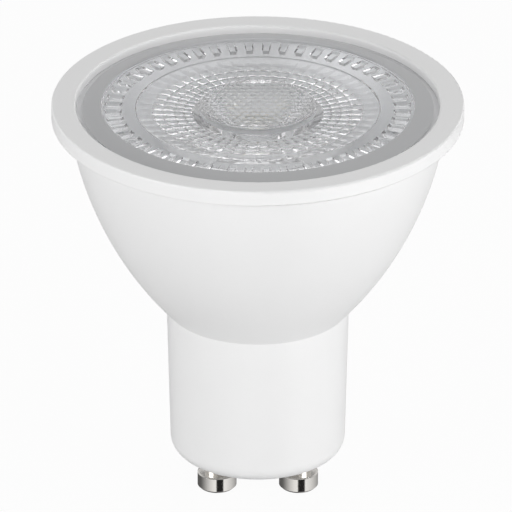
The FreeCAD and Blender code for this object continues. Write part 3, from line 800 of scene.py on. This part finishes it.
def copies_of(piece, places):
    """A copy of a piece, with its own mesh, at each place."""
    made = []
    for place in places:
        copy = piece.copy()
        copy.data = piece.data.copy()
        copy.data.transform(Matrix.Translation(place))
        bpy.context.scene.collection.objects.link(copy)
        made.append(copy)
    return made


def join(pieces, into):
    bpy.ops.object.select_all(action="DESELECT")
    for piece in pieces:
        piece.select_set(True)
    into.select_set(True)
    bpy.context.view_layer.objects.active = into
    bpy.ops.object.join()
    return into


def closed_field(cell):
    cells = copies_of(cell, [centre * MM for centre in cell_centres()])
    bpy.data.objects.remove(cell)
    field = join(cells[1:], cells[0])
    edit(field)
    merge_all()
    bpy.ops.object.mode_set(mode="OBJECT")
    select_open_edges(field)
    bpy.ops.mesh.extrude_edges_move(TRANSFORM_OT_translate={"value": (0, 0, -CELL_PLATEAU * MM)})
    bpy.ops.transform.resize(value=(1, 1, 0), center_override=(0, 0, disc_z * MM))
    bpy.ops.mesh.edge_face_add()
    bpy.ops.mesh.select_all(action="SELECT")
    bpy.ops.mesh.normals_make_consistent(inside=False)
    bpy.ops.object.mode_set(mode="OBJECT")
    print("honeycomb:", len(cells), "cells,", len(open_edge_keys(field)), "open edges")
    return field


def trim_round(field):
    bpy.ops.object.select_all(action="DESELECT")
    bpy.ops.mesh.primitive_cylinder_add(vertices=FIELD_SIDES, radius=FIELD_R * MM, depth=TRIM_HEIGHT * MM,
                                        location=(0, 0, disc_z * MM))
    trimmer = bpy.context.active_object
    trim = field.modifiers.new("trim", "BOOLEAN")
    trim.operation = "INTERSECT"
    trim.solver = "EXACT"
    trim.object = trimmer
    edit(field)
    bpy.ops.object.mode_set(mode="OBJECT")
    bpy.ops.object.modifier_apply(modifier="trim")
    bpy.data.objects.remove(trimmer)


def open_underside(field):
    edit(field)
    bpy.ops.mesh.select_mode(type="FACE")
    bpy.ops.mesh.select_all(action="DESELECT")
    bpy.ops.object.mode_set(mode="OBJECT")
    for polygon in field.data.polygons:
        polygon.select = polygon.normal.z < FACING_DOWN
    bpy.ops.object.mode_set(mode="EDIT")
    bpy.ops.mesh.delete(type="FACE")
    bpy.ops.object.mode_set(mode="OBJECT")


field = closed_field(cell)
trim_round(field)
open_underside(field)
print("round field:", len(field.data.polygons), "faces,", len(open_edge_keys(field)), "open edges")

join([field], lens)
select_open_edges(lens)
bpy.ops.mesh.fill(use_beauty=True)
merge_all()
bpy.ops.mesh.normals_make_consistent(inside=False)
bpy.ops.object.mode_set(mode="OBJECT")
print("lens:", len(lens.data.polygons), "faces,", len(open_edge_keys(lens)), "open edges")

# %% [markdown]
# The etched ring is chosen by its place, on top of the flange, and takes the satin finish whose grey is
# painted shade. All the rest is clear. Smooth shading by angle keeps the creases between cells and facets
# crisp.

# %% The lens finish
CREASE = math.radians(28)

lens.data.materials.clear()
lens.data.materials.append(clear_lens)
lens.data.materials.append(etched_lens_painted_shade)
for polygon in lens.data.polygons:
    middle = polygon.center / MM
    on_top = middle.z > bevel_z - NEAR
    in_ring = ETCHED_FROM_R - NEAR < math.hypot(middle.x, middle.y) < ETCHED_TO_R + NEAR
    polygon.material_index = 1 if on_top and in_ring else 0
bpy.ops.object.select_all(action="DESELECT")
lens.select_set(True)
bpy.context.view_layer.objects.active = lens
bpy.ops.object.shade_smooth_by_angle(angle=CREASE, keep_sharp_edges=True)
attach(lens, "root")
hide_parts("lens")

# %% [markdown]
# Every other piece keeps the shape of its solid and takes the finish of its material slot.

# %% Finishes on the solids
slots = {part["node"]: part["material_slot"] for part in frame["record"]["subparts"]}
for name, piece in nodes.items():
    finish = finishes.get(slots[name])
    if finish is not None:
        piece.data.materials.clear()
        piece.data.materials.append(finish)
print("dressed:", sum(slot in finishes for slot in slots.values()), "solids")

# %% [markdown]
# The flat top of the lens would mirror the two front boxes as one blind white glare when it is seen from
# behind. A photographer would turn the boxes out of that line. Light linking does the same here: both
# boxes light everything except the lens itself, and their light still passes through it into the cup.

# %% No glare on the lens
no_glare = bpy.data.collections.new("no_glare")
no_glare.objects.link(lens)
no_glare.collection_objects[0].light_linking.link_state = "EXCLUDE"
for front_box in (key_box, fill_box):
    front_box.light_linking.receiver_collection = no_glare

# %% [markdown]
# Some solids hold two finishes: a wire is a coloured jacket with a bare core and its solder, a capacitor
# is a sleeved can on tinned leads. Such a piece could be cut in two, but it is one solid here, so the
# finish itself changes along it. A group takes a mask that is 1 where the metal is bare, and picks
# between colour and tin.

# %% A shader group for tinned ends
TIN = (0.78, 0.78, 0.77, 1.0)
TIN_ROUGHNESS = 0.3


def tinned_group():
    """Bare tin where the mask is 1: colour, roughness and metal."""
    group = bpy.data.node_groups.new("tinned_end", "ShaderNodeTree")
    ins = {"Mask": "NodeSocketFloat", "Colour": "NodeSocketColor", "Roughness": "NodeSocketFloat"}
    outs = {"Colour": "NodeSocketColor", "Roughness": "NodeSocketFloat", "Metal": "NodeSocketFloat"}
    for direction, sockets in (("INPUT", ins), ("OUTPUT", outs)):
        for name, kind in sockets.items():
            group.interface.new_socket(name=name, in_out=direction, socket_type=kind)
    start = group.nodes.new("NodeGroupInput")
    end = group.nodes.new("NodeGroupOutput")
    colours = add(group, "ShaderNodeMixRGB", {"Color2": TIN})
    link(group, start.outputs["Mask"], colours.inputs["Fac"])
    link(group, start.outputs["Colour"], colours.inputs["Color1"])
    rough = add(group, "ShaderNodeMix", {"B": TIN_ROUGHNESS})
    link(group, start.outputs["Mask"], rough.inputs["Factor"])
    link(group, start.outputs["Roughness"], rough.inputs["A"])
    link(group, colours.outputs["Color"], end.inputs["Colour"])
    link(group, rough.outputs["Result"], end.inputs["Roughness"])
    link(group, start.outputs["Mask"], end.inputs["Metal"])
    return group


def insert_tin(material, mask_of):
    """Puts the tin between a finish and its shader. mask_of makes the mask from the place on the piece."""
    tree = material.node_tree
    shader = tree.nodes["Principled BSDF"]
    place = add(tree, "ShaderNodeSeparateXYZ")
    link(tree, add(tree, "ShaderNodeTexCoord").outputs["Object"], place.inputs[0])
    tin = tree.nodes.new("ShaderNodeGroup")
    tin.node_tree = tinned_end
    link(tree, mask_of(tree, place.outputs), tin.inputs["Mask"])
    for ours, theirs in (("Colour", "Base Color"), ("Roughness", "Roughness")):
        link(tree, shader.inputs[theirs].links[0].from_socket, tin.inputs[ours])
        link(tree, tin.outputs[ours], shader.inputs[theirs])
    link(tree, tin.outputs["Metal"], shader.inputs["Metallic"])
    return material


tinned_end = tinned_group()
print("shader group:", tinned_end.name)

# %% [markdown]
# The masks are plain geometry: over a height, under a height, or inside a circle seen from above. Each
# has a soft edge a few hundredths of a millimetre wide, so that it doesn't look cut with a knife.

# %% Masks from the place on a piece
MASK_EDGE = 0.04 * MM


def above(tree, value, limit):
    """1 where the value is over a limit in metres."""
    return ramp_between(tree, value, limit - MASK_EDGE, limit + MASK_EDGE)


def under(tree, value, limit):
    return ramp_between(tree, value, limit - MASK_EDGE, limit + MASK_EDGE, 1.0, 0.0)


def outside(tree, value, low, high):
    """1 below the low limit and above the high one."""
    return math_node(tree, "MAXIMUM", under(tree, value, low), above(tree, value, high))


def within(tree, at, x, y, radius):
    """1 inside a circle round a centre, seen from above."""
    across = math_node(tree, "SUBTRACT", at["X"], x)
    along = math_node(tree, "SUBTRACT", at["Y"], y)
    square = math_node(tree, "ADD", math_node(tree, "MULTIPLY", across, across),
                       math_node(tree, "MULTIPLY", along, along))
    return under(tree, math_node(tree, "SQRT", square), radius)


print("soft edge of a mask in mm:", MASK_EDGE * 2 / MM)

# %% [markdown]
# Each two-part solid gets its own copy of its slot's finish, and the place where the tin begins comes
# from the boxes of the solids: the wires are bare where they reach the light engine's board, the cans
# stand on bare leads, the chips have bare leads on both long sides, and the board has a round pad under
# each wire's solder.

# %% Tinned ends, leads and pads
BARE_CORE = 1.6 * MM
CAN_LEAD_DROP = 1.3 * MM
CHIP_LEAD_REACH = 0.7 * MM
FILM_STANDOFF = 0.25 * MM
RESISTOR_LEAD_RISE = 1.7 * MM
RESISTOR_LENGTH = 6.0 * MM
SOLDER_R = 0.95 * MM
PAD_R = 1.5 * MM


def dress_tinned(name, mask_of):
    slot = slots[name]
    finish = insert_tin(grained(slot, name + "_finish", **GRAINS[slot]), mask_of)
    nodes[name].data.materials.clear()
    nodes[name].data.materials.append(finish)
    print("tinned:", name)


def tin_the_wire(name):
    """Tins the end of a wire and gives the centre of its solder."""
    low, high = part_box(name)
    bare_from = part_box("led_board")[1].z - BARE_CORE
    dress_tinned(name, lambda tree, at: above(tree, at["Z"], bare_from))
    return (low.x + high.x) / 2, high.y - SOLDER_R


def tin_the_pads(centres):
    dress_tinned("led_board", lambda tree, at: math_node(
        tree, "MAXIMUM", *[within(tree, at, x, y, PAD_R) for x, y in centres]))


def tin_the_can(name):
    low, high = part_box(name)
    dress_tinned(name, lambda tree, at: under(tree, at["Z"], low.z + CAN_LEAD_DROP))


def tin_the_chip(name):
    low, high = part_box(name)
    from_z, to_z = low.z + CHIP_LEAD_REACH, high.z - CHIP_LEAD_REACH
    dress_tinned(name, lambda tree, at: outside(tree, at["Z"], from_z, to_z))


def tin_the_film_capacitor():
    board_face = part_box("driver_board")[1].y
    dress_tinned("film_capacitor", lambda tree, at: under(tree, at["Y"], board_face + FILM_STANDOFF))


def tin_the_resistor():
    body_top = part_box("fusible_resistor")[1].z - RESISTOR_LEAD_RISE
    dress_tinned("fusible_resistor",
                 lambda tree, at: outside(tree, at["Z"], body_top - RESISTOR_LENGTH, body_top))


tin_the_pads([tin_the_wire(name) for name in ("output_wire_positive", "output_wire_negative")])
for name in ("input_capacitor", "output_capacitor"):
    tin_the_can(name)
for name in ("bridge_rectifier", "driver_chip"):
    tin_the_chip(name)
tin_the_film_capacitor()
tin_the_resistor()
